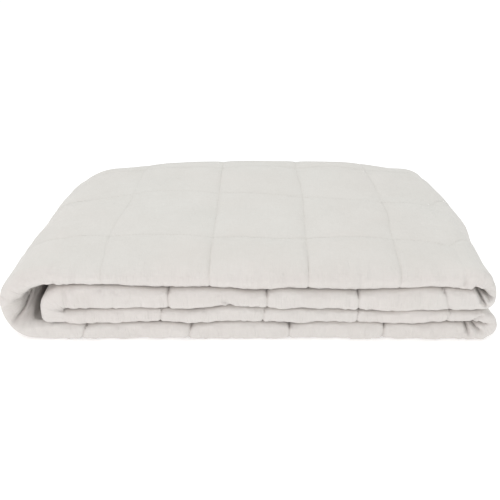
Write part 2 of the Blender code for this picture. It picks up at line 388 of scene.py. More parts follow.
def layer_edges(layer, x):
    """Lowest and highest height of a layer of the stack at x."""
    if layer == "top":
        return slit(1, x) + GAP / 2, TOP + 0 * x
    if layer == "second":
        return slit(2, x) + GAP / 2, slit(1, x) - GAP / 2
    if layer == "third":
        return slit(3, x) + GAP / 2, slit(2, x) - GAP / 2
    return 0 * x, slit(3, x) - GAP / 2


class Strip:
    """The middle line of the strip, as arrays over its length."""

    def __init__(self):
        self.rows = []
        self.parts = []

    def add(self, part, x, z, normal_x, normal_z, half):
        self.rows.append(np.column_stack(np.broadcast_arrays(x, z, normal_x, normal_z, half)))
        self.parts += [part] * len(self.rows[-1])

    def lay_flat(self, layer, start, end, outer):
        """A layer that lies flat. outer is +1 where the outer face of the strip is up."""
        x = np.linspace(start, end, 1 + round(abs(end - start) / 0.001))
        low, high = layer_edges(layer, x)
        self.add(layer, x, (low + high) / 2, 0.0, outer, (high - low) / 2)

    def bend(self, fold):
        """A half turn between two layers, with its outer face on one curve and its inner face on another."""
        share = np.linspace(0, 1, BEND_POINTS)[1:-1]
        early = share <= 0.5
        across, along = np.sin(math.pi * share), abs(np.cos(math.pi * share))
        start = np.where(early, fold.first_x, fold.last_x)
        inner_x = start + (fold.inner_x - start) * across
        first, last = layer_edges(fold.first, inner_x), layer_edges(fold.last, inner_x)
        rising = first[0][0] < last[0][0]
        before, after = (first[1], last[0]) if rising else (first[0], last[1])
        middle = (before + after) / 2
        inner_z = middle + (np.where(early, before, after) - middle) * along
        curve = 2 / np.where(early, fold.squareness, fold.squareness_after)
        outer_x = start + (fold.outer_x - start) * across**curve
        flat = ((fold.first, fold.first_x), (fold.last, fold.last_x))
        first, last = (layer_edges(layer, np.float64(x)) for layer, x in flat)
        ends = (first[0], last[1]) if rising else (first[1], last[0])
        outer_z = fold.outer_z + (np.where(early, *ends) - fold.outer_z) * along**curve
        reach_x, reach_z = (outer_x - inner_x) / 2, (outer_z - inner_z) / 2
        half = np.hypot(reach_x, reach_z)
        self.add(fold.part, inner_x + reach_x, inner_z + reach_z, reach_x / half, reach_z / half, half)

    def curl(self):
        """The first hem stands on the bottom layer and curls over the end of the third one."""
        low, high = layer_edges("second", np.float64(CURL_X))
        top = (low + high) / 2
        foot = CURL_HEM_Z + CURL_STAND
        upright = np.linspace(CURL_HEM_Z, foot, FOOT_POINTS)
        self.add("curl", CURL_X - CURL_REACH, upright, 1.0, 0.0, CURL_HALF)
        share = np.linspace(0, 1, CURL_POINTS)[1:-1]
        angle = math.pi * (1 - share / 2)
        half = CURL_HALF + share * ((high - low) / 2 - CURL_HALF)
        x, z = CURL_X + CURL_REACH * np.cos(angle), foot + (top - foot) * np.sin(angle)
        self.add("curl", x, z, -np.cos(angle), -np.sin(angle), half)

    def finish(self):
        table = np.concatenate(self.rows)
        steps = np.hypot(*np.diff(table[:, :2], axis=0).T)
        self.length = np.concatenate([[0.0], np.cumsum(steps)])
        self.x, self.z, self.normal_x, self.normal_z, self.half = table.T
        self.end = self.length[-1]
        self.power = self.evened([FRONT_POWER.get(part, PRESSED_POWER) for part in self.parts])
        at_hem = np.interp(self.length, CURL_SQUARED, (1, 0)) + (self.length > self.end - LAST_HEM_SQUARED)
        self.power = self.power + (HEM_POWER - self.power) * at_hem
        self.top = self.evened([float(part == "top") for part in self.parts])
        self.between = np.array([part in ("second", "third") for part in self.parts])
        self.length_of_curl = self.length[self.parts.index("second")]

    def evened(self, values):
        """The mean of the values round each one."""
        weights = np.ones(2 * EVENED + 1) / (2 * EVENED + 1)
        return np.convolve(np.pad(values, EVENED, mode="edge"), weights, mode="valid")

    def at(self, values, length):
        return np.interp(length, self.length, values)

    def rows_of(self, part):
        return [row for row, name in enumerate(self.parts) if name == part]

    def span(self, part):
        """Lengths where a part of the strip starts and ends."""
        rows = self.rows_of(part)
        return self.length[rows[0]], self.length[rows[-1]]

    def place(self, part, x):
        """The length at which a flat layer passes x."""
        rows = self.rows_of(part)
        order = np.argsort(self.x[rows])
        return float(np.interp(x, self.x[rows][order], self.length[rows][order]))


def fold_strip():
    strip = Strip()
    strip.curl()
    strip.lay_flat("second", CURL_X, UPPER_FOLD.first_x, -1.0)
    strip.bend(UPPER_FOLD)
    strip.lay_flat("top", UPPER_FOLD.last_x, WRAP.first_x, 1.0)
    strip.bend(WRAP)
    strip.lay_flat("bottom", WRAP.last_x, LOWER_FOLD.first_x, -1.0)
    strip.bend(LOWER_FOLD)
    strip.lay_flat("third", LOWER_FOLD.last_x, LAST_HEM_X, 1.0)
    strip.finish()
    return strip


def spaced(start, end, count, steps, marks):
    """count values from start to end, whose step is fine near the marks and coarse elsewhere."""
    coarse, fine, reach = steps
    probe = np.linspace(start, end, 4000)
    near = np.zeros_like(probe)
    for mark in marks:
        near = np.maximum(near, np.exp(-(((probe - mark) / reach) ** 2)))
    density = 1 / (coarse * (1 - near) + fine * near)
    filled = np.concatenate([[0.0], np.cumsum((density[1:] + density[:-1]) / 2)])
    return np.interp(np.linspace(0, filled[-1], count), filled, probe)


class Ring:
    """The points round the strip: depth from the front, share of half thickness, and the zone of each."""

    def __init__(self):
        marks = (0.0, *SEAMS_ALONG)
        outer = spaced(FRONT_ROUND, FACE_END, OUTER_ROWS, OUTER_STEPS, marks)[::-1]
        inner = spaced(FRONT_ROUND, FACE_END, INNER_ROWS, INNER_STEPS, (0.0,))
        half_step = 90 / FRONT_ROWS
        turn = np.radians(90 - half_step * (2 * np.arange(FRONT_ROWS) + 1))
        back = np.array([(DEPTH - behind, share) for behind, share in BACK_LIPS])
        soften(back, 2)
        front_depth = FRONT_ROUND * (1 - np.cos(turn))
        self.depth = np.concatenate([outer, front_depth, inner, back[:, 0]])
        self.share = np.concatenate([np.ones(OUTER_ROWS), np.sin(turn), -np.ones(INNER_ROWS), back[:, 1]])
        self.turn = np.concatenate([np.zeros(OUTER_ROWS), turn, np.zeros(INNER_ROWS + len(back))])
        counts = (OUTER_ROWS, FRONT_ROWS, INNER_ROWS, len(back))
        zone = np.repeat(np.arange(4), counts)
        self.outer, self.front, self.inner, self.back = (zone == number for number in range(4))
        self.count = sum(counts)
        behind = np.linspace(*HEM_BACK, len(back) // 2)
        self.meet = self.depth.copy()  # depth where a row meets the one across the strip, at a hem
        self.meet[self.back] = np.concatenate([behind, behind[::-1]])


def settle(x, depth, z):
    """Crowns the pile, lets it sink at the back and draws its sides in there."""
    sink = np.where(x < 0, look_up(SIDE_SINK, -x, 1), look_up(SIDE_SINK, x, 2))
    sink = sink * (np.maximum(depth, 0.0) / DEPTH) ** SINK_POWER
    inset = np.where(x < 0, look_up(NARROWING, depth, 1), look_up(NARROWING, depth, 2))
    outward = ramp(abs(x), STEADY_WIDTH, WIDTH / 2)
    x = x - np.copysign(inset * outward, x) - MIDDLE_X
    return np.stack([x, depth - DEPTH / 2, z * look_up(CROWN, depth) * (1 - sink)], axis=-1)


Seam = namedtuple("Seam", "length layer x lean depth")


class Seams:
    """How near each point of the cloth is to a seam, and how deep the seam draws it in."""

    def __init__(self, strip, ring, stations):
        self.strip, self.ring, self.stations = strip, ring, stations
        self.across = [Seam(strip.place(*row[:2]), *row) for row in SEAMS_ACROSS]
        for part in FOLD_SEAMS:
            self.across.append(Seam(sum(strip.span(part)) / 2, part, None, 0.0, FOLD_SEAM_DEPTH))
        shape = (len(stations), ring.count)
        self.narrow, self.wide, self.corner = np.zeros(shape), np.zeros(shape), np.zeros(shape)
        self.pucker, self.head = np.zeros(shape), np.zeros(shape)
        for number, seam in enumerate(self.across):
            away = stations[:, None] - self.line(seam)[None, :]
            outer, inner = SEAM_SHARES.get(seam.layer, FOLD_SEAM_SHARES)
            strength = seam.depth * (inner + (outer - inner) * (ring.share + 1) / 2)
            self.sew(away, strength, ring.depth * 3 + ring.turn / 40, number)
            self.corner = np.maximum(self.corner, np.exp(-abs(away) / CORNER_REACH) * strength)
            if seam.layer in ("second", "bottom"):
                high = ramp(ring.share, -0.1, -0.9) * seam.depth
                self.head = np.maximum(self.head, np.exp(-abs(away) / SEAM_NARROW) * high)
        for number in range(len(SEAMS_ALONG)):
            away, strength = self.along(number)
            self.sew(away, strength, stations[:, None], 30 + number)

    def sew(self, away, strength, place, number):
        """Adds a seam: how far it is away, how deep it is, and the place along it, for its puckers."""
        near = np.exp(-abs(away) / SEAM_NARROW) * strength
        self.narrow = np.maximum(self.narrow, near)
        self.wide = np.maximum(self.wide, np.exp(-((away / SEAM_WIDE) ** 2)) * strength)
        wave = soft_noise(place / PUCKER_LENGTH, 0.5 * np.sign(away) + number, 40 + number)
        fade = np.exp(-abs(away) / PUCKER_REACH) * (1 - np.exp(-abs(away) / SEAM_NARROW))
        self.pucker = self.pucker + wave * fade * strength

    def line(self, seam):
        """Length along the strip at which a seam crosses each row of the ring."""
        ring = self.ring
        right = -1.0 if seam.layer in ("top", "third") else 1.0
        stray = seam.lean / 2 * right * np.where(ring.front, np.sin(ring.turn), ring.share)
        if seam.layer == "top":
            column = 1 + [x for layer, x, _, _ in SEAMS_ACROSS if layer == "top"].index(seam.x)
            stray = stray + look_up(TOP_SEAM_STRAY, np.where(ring.outer, ring.depth, 0.0), column)
        return seam.length + right * stray

    def along(self, number):
        """Distance of each point from a seam along the strip, and how deep that seam is there."""
        ring, strip = self.ring, self.strip
        depth = np.full(len(self.stations), SEAMS_ALONG[number])
        strength = np.full(len(self.stations), SEAM_ALONG_DEPTH)
        if number < len(TOP_SEAMS_ALONG[0]) - 1:
            start, end = strip.span("top")
            on_top = ramp(self.stations, start - 0.01, start + 0.01)
            on_top = on_top * ramp(self.stations, end + 0.01, end - 0.01)
            x = strip.at(strip.x, self.stations)
            bent = look_up(TOP_SEAMS_ALONG, x, 1 + number)
            depth = depth + (bent - depth) * on_top
            faint = SECOND_FAINT if number else FIRST_FAINT + (1 - FIRST_FAINT) * ramp(x, -0.045, -0.025)
            strength = strength * (1 + (faint - 1) * on_top)
        away = ring.depth[None, :] - depth[:, None]
        return np.where(ring.outer | ring.inner, away, 1.0), strength[:, None]


def mouth_of(strip, stations):
    """How much the front of each station is drawn in at the wrap's mouth, and puffed out in its hollow."""
    start, end = strip.span("wrap")
    share = (stations - start) / (end - start)
    drawn = ramp(share, 0, 0.30) * ramp(stations, end + 0.030, end - 0.005)
    puff = ramp(share, 0.30, 0.52) * ramp(share, 1.04, 0.59)
    return drawn[:, None], puff[:, None]


def mouth_dent(x, z, share):
    """How far the front is drawn in below the rim of the wrap's mouth."""
    below = look_up(RIM, x) - z
    left = look_up(VALLEY, z) - x
    under = ramp(below, -0.0011, 0.0011)
    between = np.clip(below / np.maximum(below + left, 1e-6), 0, 1)
    slope = RIM_STEP + (VALLEY_DEPTH - RIM_STEP) * between
    right = np.maximum(-left, 0)
    deepest = VALLEY_DEPTH + HOLLOW_DEPTH * ramp(right, 0, 0.014) * ramp(z, 0.020, 0.034)
    beyond = deepest * np.exp(-right / look_up(VALLEY_REACH, z))
    return under * np.where(left > 0, slope, beyond) * np.clip((1 - share) / 1.3, 0, 1)


def distance_to(points, x, z):
    """Distance of each point of the plane from a line of points, and its share of the way along that line."""
    nearest, along = np.full(x.shape, 1e9), np.zeros(x.shape)
    parts = len(points) - 1
    for number, (start, end) in enumerate(zip(points, points[1:])):
        run_x, run_z = end[0] - start[0], end[1] - start[1]
        share = ((x - start[0]) * run_x + (z - start[1]) * run_z) / (run_x**2 + run_z**2)
        share = np.clip(share, 0, 1)
        away = np.hypot(x - start[0] - share * run_x, z - start[1] - share * run_z)
        closer = away < nearest
        nearest = np.where(closer, away, nearest)
        along = np.where(closer, (number + share) / parts, along)
    return nearest, along


def crease(rows, x, z):
    """How far creases draw the cloth in at each point of a plane, less their banks, and how much painted
    shade their cores get.
    """
    drawn, core = np.zeros(x.shape), np.zeros(x.shape)
    for width, depth, points in rows:
        away, along = distance_to(points, x, z)
        strength = depth * (1 - along**2)
        drawn += strength * np.exp(-((away / width) ** 2))
        bank = np.exp(-(((away - BANK_AWAY * width) / (BANK_WIDTH * width)) ** 2))
        drawn -= CREASE_BANK * strength * bank
        core = np.maximum(core, strength / CORE_DEPTH * np.exp(-((away / (CORE_WIDTH * width)) ** 2)))
    return drawn, np.clip(core, 0, 1)


def surface(strip, ring, stations, seams):
    """The cloth with its seams drawn in, before its creases: one point for each station and row."""
    depth = np.tile(ring.depth, (len(stations), 1))
    share = np.tile(ring.share, (len(stations), 1))
    front = ring.front
    behind = np.maximum(ring.depth - FRONT_ROUND, 0)
    mouth, puff = mouth_of(strip, stations)
    power = strip.at(strip.power, stations)[:, None]
    sine = np.sin(ring.turn[front])
    power = np.where(sine > 0, power, power + (MOUTH_POWER - power) * puff)
    edge = np.clip(seams.narrow[:, front] * 1.2, 0, 1)
    power = power + (SEAM_POWER - power) * 0.6 * edge * (1 - puff)
    top = ramp(strip.at(strip.top, stations)[:, None], 0.5, 1)
    power = power + (TOP_POWER - power) * top * (sine > 0)
    round_depth = FRONT_ROUND + MOUTH_ROUND * puff * (sine < 0) + TOP_ROUND * top * (sine > 0)
    depth[:, front] = round_depth * (1 - np.cos(ring.turn[front]) ** (2 / power))
    share[:, front] = np.copysign(abs(sine) ** (2 / power), sine)
    inward = np.exp(-behind / MOUTH_FADE)
    depth = depth + MOUTH_ROUND * puff * inward * ring.inner
    depth = depth + TOP_ROUND * top * np.exp(-behind / TOP_ROUND_FADE) * ring.outer

    softness = 0.15 + 0.30 * ramp(ring.depth, 0, 0.025)
    near = (1 - softness) * seams.narrow + softness * seams.wide
    x, z, normal_x, normal_z, half = (
        strip.at(values, stations)[:, None]
        for values in (strip.x, strip.z, strip.normal_x, strip.normal_z, strip.half)
    )
    dip = SEAM_DIP * near + CORNER_DIP * seams.corner * np.exp(-depth / CORNER_DEPTH)
    facing = np.where(front, np.cos(ring.turn) ** 0.5, 0.0)
    reach = half * share - share * dip
    shallow = np.exp(-((np.maximum(depth - PUFF_DEPTH, 0) / MOUTH_DEPTH) ** 2))
    reach = reach + np.minimum(share, 0) * MOUTH_PUFF * puff * shallow
    pressed = np.where((share < 0) | (strip.at(strip.between, stations)[:, None] > 0.5), seams.corner, 0.0)
    pinch = np.where(front, share**4, np.exp(-behind / PINCH_DEPTH))
    depth = depth + FRONT_PINCH * near * facing + CORNER_PINCH * pressed * pinch * ~ring.back

    to_first = stations[:, None] / (HEM_ROUND * np.where(share > 0, HEM_SQUARE, 1.0))
    last_round = LAST_HEM_ROUND * (1 + 5 * ramp(ring.depth, 0.03, 0.08))  # rounder at the back
    to_hem = np.minimum(to_first, (strip.end - stations[:, None]) / last_round)
    closing = np.sqrt(np.clip(1 - (1 - np.clip(to_hem, 0, 1)) ** 2, 0, 1))
    depth = depth * closing + ring.meet * (1 - closing)
    reach = reach * closing
    turned = np.degrees(ring.turn)
    curled = ramp(stations, strip.length_of_curl, strip.length_of_curl - 0.018)[:, None]
    lip = ramp(turned, 20, 50) * ramp(turned, 81, 72) * front * curled
    reach = reach + CURL_LIP * lip
    depth = depth * (1 - 0.6 * lip)
    last = ramp(stations, strip.end - LAST_HEM_REACH, strip.end)[:, None]
    depth = depth + LAST_HEM_BACK * last * np.exp(-((ring.depth / 0.02) ** 2)) * ~ring.back
    x, z = x + normal_x * reach, z + normal_z * reach
    depth = depth + mouth_dent(x, z, share) * np.where(front, 1.0, inward) * mouth * ~ring.back
    wander = soft_noise(stations / WANDER_LENGTH, 0.37, 21)[:, None] * np.exp(-((ring.depth / 0.030) ** 2))
    depth = depth + FRONT_WANDER * wander * ~ring.back
    return settle(x, depth, z)


def normals_of(points):
    """Outward normals of the grid, whose columns go round the strip."""
    along = np.gradient(points, axis=0)
    around = np.roll(points, -1, axis=1) - np.roll(points, 1, axis=1)
    normal = np.cross(along, around)
    size = np.linalg.norm(normal, axis=2, keepdims=True)
    return normal / np.maximum(size, 1e-12)


# How much painted shade the bottom and the top slit get, the hollow, its wall, and the heads of the seams
# beside a slit.
LOW_SLIT_SHADE, HIGH_SLIT_SHADE = 0.80, 0.32
SLIT_UNEVEN, SLIT_PATCH = 0.40, 0.026  # share of that which varies along a slit, and over what length
HOLLOW_SHADE, WALL_SHADE, HEAD_SHADE = 0.50, 0.55, 0.45


def shadowed_places(strip, ring, stations, seams, x, z):
    """Painted shade in the deep parts of the slits and of the hollow, where they get no light."""
    mouth, puff = mouth_of(strip, stations)
    turned = abs(np.degrees(ring.turn))
    deep = np.where(ring.front, ramp(turned, 68, 88), ramp(ring.depth, 0.27, 0.25))
    pressed = (ring.share < 0) | (strip.at(strip.between, stations)[:, None] > 0.5)
    past_curl = ramp(stations, strip.length_of_curl, strip.length_of_curl + 0.010)[:, None]
    slits = pressed * deep * (1 - puff) * past_curl
    slits = slits * (1 - SLIT_UNEVEN + SLIT_UNEVEN * soft_noise(stations / SLIT_PATCH, 3.1, 31)[:, None])
    slits = slits * (LOW_SLIT_SHADE + (HIGH_SLIT_SHADE - LOW_SLIT_SHADE) * ramp(z, 0.022, 0.058))
    hollow = ramp(ring.share, -0.05, -0.70) * puff
    wall = ramp(look_up(RIM, x) - z, 0, 0.003) * ramp(x - look_up(VALLEY, z), 0, 0.012)
    wall = wall * ramp(z, 0.014, 0.040) * mouth * ring.front * (ring.turn < 0.6)
    hollow = np.maximum(HOLLOW_SHADE * hollow, WALL_SHADE * wall)
    return np.maximum(np.maximum(slits, hollow), HEAD_SHADE * seams.head * ring.front)


# --- How the filled cloth swells and wrinkles ---

SWELL_FRAMES = 20
SWELL_PRESSURE = 3.0
SWELL_GROWTH = 0.012  # how much more cloth there is than the seams leave room for
SWELL_LIMIT = 0.0022  # no point moves further
SWELL_SETTINGS = {
    "quality": 5,
    "mass": 0.3,
    "tension_stiffness": 15,
    "compression_stiffness": 5,
    "shear_stiffness": 5,
    "bending_stiffness": 0.3,
    "vertex_group_mass": "held",
    "pin_stiffness": 1.0,
    "shrink_min": -SWELL_GROWTH,
    "use_pressure": True,
    "uniform_pressure_force": SWELL_PRESSURE,
}
SWELL_STEP = 2  # every second point of the cloth is in the coarser grid
SHOULDER_START = 0.034  # depth and turn between which the top rounds over, and the cloth stays smooth
SHOULDER_END = 15.0
SHOULDER_SMOOTH = 0.9
UPRIGHT_SHARE = 0.5  # how much less the upright folds swell


def held_places(strip, ring, stations, seams):
    """1 where the cloth is sewn down or pressed, and 0 where it is free."""
    turned = abs(np.degrees(ring.turn))
    sewn = ramp(seams.narrow, 0.10, 0.45)
    pressed = ring.back | ring.inner | (ring.depth > 0.270)
    pressed = np.where(ring.front, ramp(turned, 35, 60), pressed)
    level = strip.at(strip.normal_z, stations)[:, None]
    high = strip.at(strip.z, stations)[:, None] > TOP_LAYER_Z
    covered = ramp(abs(level), 0.6, 0.9) * ~high
    upper = np.where(ring.front & high & (ring.turn > 0), 0.0, pressed)
    held = np.maximum(sewn, np.maximum(upper, covered * ring.outer))
    hem = np.minimum(stations - strip.length_of_curl, strip.end - stations)[:, None]
    return np.maximum(held, ramp(hem, 0.015, 0))


def swell(strip, ring, stations, seams, points):
    """Lets the cloth between its seams swell and wrinkle: a cloth simulation on a coarser grid."""
    rows = np.append(np.arange(0, len(stations) - 1, SWELL_STEP), len(stations) - 1)
    columns = np.arange(0, ring.count, SWELL_STEP)
    coarse = points[np.ix_(rows, columns)]
    held = held_places(strip, ring, stations, seams)[np.ix_(rows, columns)]
    proxy = new_object("swelling", grid_mesh("swelling", coarse))
    group = proxy.vertex_groups.new(name="held")
    for level in range(1, 11):
        members = np.where(np.round(held.ravel() * 10) == level)[0]
        group.add(members.tolist(), level / 10, "REPLACE")
    modifier = proxy.modifiers.new("swelling", "CLOTH")
    for name, value in SWELL_SETTINGS.items():
        setattr(modifier.settings, name, value)
    modifier.settings.effector_weights.gravity = 0.0
    modifier.collision_settings.use_collision = False
    modifier.point_cache.frame_start = 1
    modifier.point_cache.frame_end = SWELL_FRAMES
    for number in range(1, SWELL_FRAMES + 1):
        bpy.context.scene.frame_set(number)
    moved = np.empty(coarse.size)
    result = proxy.evaluated_get(bpy.context.evaluated_depsgraph_get()).to_mesh()
    result.vertices.foreach_get("co", moved)
    moved = moved.reshape(coarse.shape) - coarse
    bpy.data.objects.remove(proxy)
    bpy.context.scene.frame_set(1)

    distance = np.linalg.norm(moved, axis=2, keepdims=True)
    moved = moved * SWELL_LIMIT * np.tanh(distance / SWELL_LIMIT) / np.maximum(distance, 1e-9)
    moved = spread(moved, rows, len(stations), 0)
    closed = np.concatenate([moved, moved[:, :1]], axis=1)
    moved = spread(closed, np.append(columns, ring.count), ring.count, 1)
    for _ in range(3):
        moved = (np.roll(moved, 1, axis=1) + 2 * moved + np.roll(moved, -1, axis=1)) / 4
        soften(moved, 1)
    first = np.argmin(abs(ring.depth - SHOULDER_START) + ~ring.outer)
    last = np.argmin(abs(np.degrees(ring.turn) - SHOULDER_END) + 999 * ~ring.front)
    part = ramp(np.linspace(0, 1, last - first + 1))[None, :, None]
    bridged = moved[:, [first]] * (1 - part) + moved[:, [last]] * part
    over = SHOULDER_SMOOTH * ramp(strip.at(strip.z, stations), 0.055, 0.067)[:, None, None]
    moved[:, first:last + 1] += (bridged - moved[:, first:last + 1]) * over
    upright = ramp(abs(strip.at(strip.normal_z, stations)), 0.9, 0)
    return points + moved * (1 - UPRIGHT_SHARE * upright)[:, None, None]


def spread(values, places, count, axis):
    """Values at every place up to count along an axis, from their values at a few places of it."""
    every = np.arange(count)
    low = np.clip(np.searchsorted(places, every, side="right") - 1, 0, len(places) - 2)
    part = (every - places[low]) / (places[low + 1] - places[low])
    shape = [1, 1, 1]
    shape[axis] = count
    part = part.reshape(shape)
    return values.take(low, axis=axis) * (1 - part) + values.take(low + 1, axis=axis) * part


def build_blanket():
    strip = fold_strip()
    ring = Ring()
    marks = [0.0, strip.end]
    marks += [strip.place(*row[:2]) for row in (*SEAMS_ACROSS, *CREASED_PLACES)]
    for part in FOLD_SEAMS:
        marks += list(np.linspace(*strip.span(part), FOLD_MARKS))
    stations = spaced(0.0, strip.end, STATIONS, STATION_STEPS, marks)
    seams = Seams(strip, ring, stations)
    points = surface(strip, ring, stations, seams)
    normals = normals_of(points)
    front = ring.front
    lump = soft_noise(stations[:, None] / LUMP_LENGTH, ring.depth / LUMP_LENGTH + ring.share, 50)
    upright = soft_noise(stations[:, None] / FINE_PUCKER_LENGTH, 1.3 * ring.share, 60)
    upright = upright * np.where(front, np.cos(ring.turn), 0.0) * (1 - seams.wide)
    upright = upright * (1 - 0.85 * mouth_of(strip, stations)[0])
    height = -PUCKER * seams.pucker - SOFT_LUMP * lump - FINE_PUCKER * upright
    hem = np.minimum(stations, strip.end - stations)[:, None]
    points = points + normals * (height * ramp(hem, 0, HEM_FADE) * ~ring.back)[..., None]
    points = swell(strip, ring, stations, seams, points)
    on_top = (strip.at(strip.z, stations)[:, None] > TOP_LAYER_Z) & ring.outer
    sunk, _ = crease(TOP_CREASES, points[..., 0] + MIDDLE_X, points[..., 1] + DEPTH / 2)
    points[..., 2] -= np.where(on_top, sunk, 0.0)
    drawn, core = crease(FRONT_CREASES, points[:, front, 0] + MIDDLE_X, points[:, front, 2])
    points[:, front, 1] += drawn
    dark = shadowed_places(strip, ring, stations, seams, points[..., 0] + MIDDLE_X, points[..., 2])
    # the cores of the front creases get painted shade too
    dark[:, front] = np.maximum(dark[:, front], core)
    points[..., 2] = np.maximum(points[..., 2], 0.0)
    return strip, ring, stations, seams, points, dark


def grid_mesh(name, points):
    """A closed mesh over the grid of points, whose two ends each close on themselves."""
    rows, columns = points.shape[:2]
    vertex = np.arange(rows * columns).reshape(rows, columns)
    beside = np.roll(vertex, -1, axis=1)
    faces = np.stack([vertex[:-1], vertex[1:], beside[1:], beside[:-1]], axis=-1).reshape(-1, 4)
    mesh = bpy.data.meshes.new(name)
    mesh.from_pydata(points.reshape(-1, 3).tolist(), [], faces.tolist())
    mesh.update()
    return mesh


def new_object(name, data):
    thing = bpy.data.objects.new(name, data)
    bpy.context.scene.collection.objects.link(thing)
    return thing


def show(name, mesh, material):
    thing = new_object(name, mesh)
    mesh.shade_smooth()
    mesh.materials.append(material)
    return thing


def lay_weave(mesh, points, stations):
    """Places on the cloth in metres, along the strip and round it, as the mesh's map."""
    steps = np.linalg.norm(np.roll(points, -1, axis=1) - points, axis=2)
    around = np.concatenate([np.zeros((len(stations), 1)), np.cumsum(steps, axis=1)], axis=1)
    soften(around, 12)
    along, column = np.indices((len(stations) - 1, points.shape[1]))
    corners = [(along, column), (along + 1, column), (along + 1, column + 1), (along, column + 1)]
    places = np.stack([np.stack([stations[i], around[i, j]], axis=-1) for i, j in corners], axis=-2)
    layer = mesh.uv_layers.new(name="cloth")
    layer.data.foreach_set("uv", places.astype(np.float32).ravel())


def mark(mesh, name, values):
    """One number a point, which the material reads."""
    attribute = mesh.attributes.new(name, "FLOAT", "POINT")
    attribute.data.foreach_set("value", values.astype(np.float32).ravel())


CREST_REACH = 0.020  # how far along the strip the crest of a fold is rubbed


def rubbed_places(strip, ring, stations):
    """The crests of the folds, where the cloth is handled most."""
    rubbed = np.zeros((len(stations), ring.count))
    for part in FOLD_SEAMS:
        crest = np.exp(-(((stations - sum(strip.span(part)) / 2) / CREST_REACH) ** 2))
        rubbed = np.maximum(rubbed, crest[:, None] * (ring.share > 0.9))
    front = np.where(ring.front, np.cos(ring.turn) ** 2, 0.0)
    return np.maximum(rubbed, 0.8 * front[None, :])


# --- Sewing ---

STITCH_PITCH = 0.0036
STITCH_LENGTH = 0.0029
STITCH_WIDTH = 0.00055
STITCH_HEIGHT = 0.00040
STITCH_SIDES = 6
END_OF_SEWING = 0.008  # the seams along the strip stop this far from the folds' far ends
# Rings of points along a stitch: share of its length from the middle, share of its width.
STITCH_RINGS = ((-0.50, 0.30), (-0.36, 0.85), (0.0, 1.0), (0.36, 0.85), (0.50, 0.30))
STITCH_LEVEL = 0.75  # a stitch dips into the cloth where it has less than this share of its width


def seam_paths(strip, ring, stations, seams, grids):
    """The line of points and of normals, from the two grids, along every seam that shows."""
    def between(here, beside, part):
        return [grid[here] * (1 - part) + grid[beside] * part for grid in grids]

    facing = np.where((ring.outer | ring.front) & (ring.turn > math.radians(-75)))[0]
    paths = []
    for seam in seams.across:
        rows = facing if seam.layer not in ("second", "third") else facing[ring.front[facing]]
        place = np.interp(seams.line(seam)[rows], stations, np.arange(len(stations)))
        low = np.clip(place.astype(int), 0, len(stations) - 2)
        paths.append(between((low, rows), (low + 1, rows), (place - low)[:, None]))
    outer = np.where(ring.outer)[0]
    start, end = strip.span("upper fold")[0] + END_OF_SEWING, strip.span("lower fold")[1] - END_OF_SEWING
    kept = np.where((stations > start) & (stations < end))[0]
    for number in range(len(SEAMS_ALONG)):
        away, _ = seams.along(number)
        depth = (ring.depth[None, :] - away)[kept, outer[0]]
        place = np.interp(-depth, -ring.depth[outer], outer)
        low = np.clip(place.astype(int), outer[0], outer[-1] - 1)
        paths.append(between((kept, low), (kept, low + 1), (place - low)[:, None]))
    return paths


def stitch_shape():
    """The points of one stitch as places ahead of, beside and above its middle, and its faces."""
    points, faces = [], []
    for place, width in STITCH_RINGS:
        for angle in np.linspace(0, 2 * math.pi, STITCH_SIDES, endpoint=False):
            beside = math.cos(angle) * STITCH_WIDTH / 2 * width
            above = STITCH_HEIGHT * (math.sin(angle) / 2 * width + width - STITCH_LEVEL)
            points.append((place * STITCH_LENGTH, beside, above))
    last = len(points) - STITCH_SIDES
    for start in range(0, last, STITCH_SIDES):
        for step in range(STITCH_SIDES):
            here, beside = start + step, start + (step + 1) % STITCH_SIDES
            faces.append((here, beside, beside + STITCH_SIDES, here + STITCH_SIDES))
    faces.append(tuple(range(STITCH_SIDES - 1, -1, -1)))
    faces.append(tuple(range(last, last + STITCH_SIDES)))
    return np.array(points), faces


def stitch_seams(strip, ring, stations, seams, points):
    """The quilting stitches, one short bar of thread each, joined into one piece."""
    shape, shape_faces = stitch_shape()
    vertices, faces = [], []
    for line, up in seam_paths(strip, ring, stations, seams, (points, normals_of(points))):
        travel = np.concatenate([[0.0], np.cumsum(np.linalg.norm(np.diff(line, axis=0), axis=1))])
        for middle in np.arange(STITCH_PITCH, travel[-1] - STITCH_PITCH / 2, STITCH_PITCH):
            ends = [middle - STITCH_LENGTH / 2, middle, middle + STITCH_LENGTH / 2]
            tail, centre, head = np.stack([np.interp(ends, travel, column) for column in line.T], axis=-1)
            normal = np.array([np.interp(middle, travel, column) for column in up.T])
            ahead = (head - tail) / np.linalg.norm(head - tail)
            side = np.cross(normal, ahead)
            side = side / np.linalg.norm(side)
            first = len(vertices)
            vertices += (centre + shape @ [ahead, side, np.cross(ahead, side)]).tolist()
            faces += [[first + corner for corner in face] for face in shape_faces]
    mesh = bpy.data.meshes.new("stitches")
    mesh.from_pydata(vertices, [], faces)
    return show("stitches", mesh, thread_material())


# --- Materials ---

THREADS = 1400.0  # threads to a metre
LIGHT_COTTON = (0.770, 0.752, 0.722, 1)
DARK_COTTON = (0.700, 0.676, 0.640, 1)
SEWING_THREAD = (0.755, 0.735, 0.700, 1)
WARM_DYE = (0.80, 0.66, 0.62, 1)
# The colours that painted shade darkens towards: in the troughs of the seams, and in the slits, hollow and
# creases.
SEAM_SHADOW = (0.45, 0.42, 0.38, 1)
CREASE_SHADOW = (0.12, 0.105, 0.09, 1)
WORN_COTTON = (0.84, 0.825, 0.80, 1)
ALONG_YARN, ACROSS_YARN = 60.0, 1100.0  # slubs to a metre, along the yarn and across it


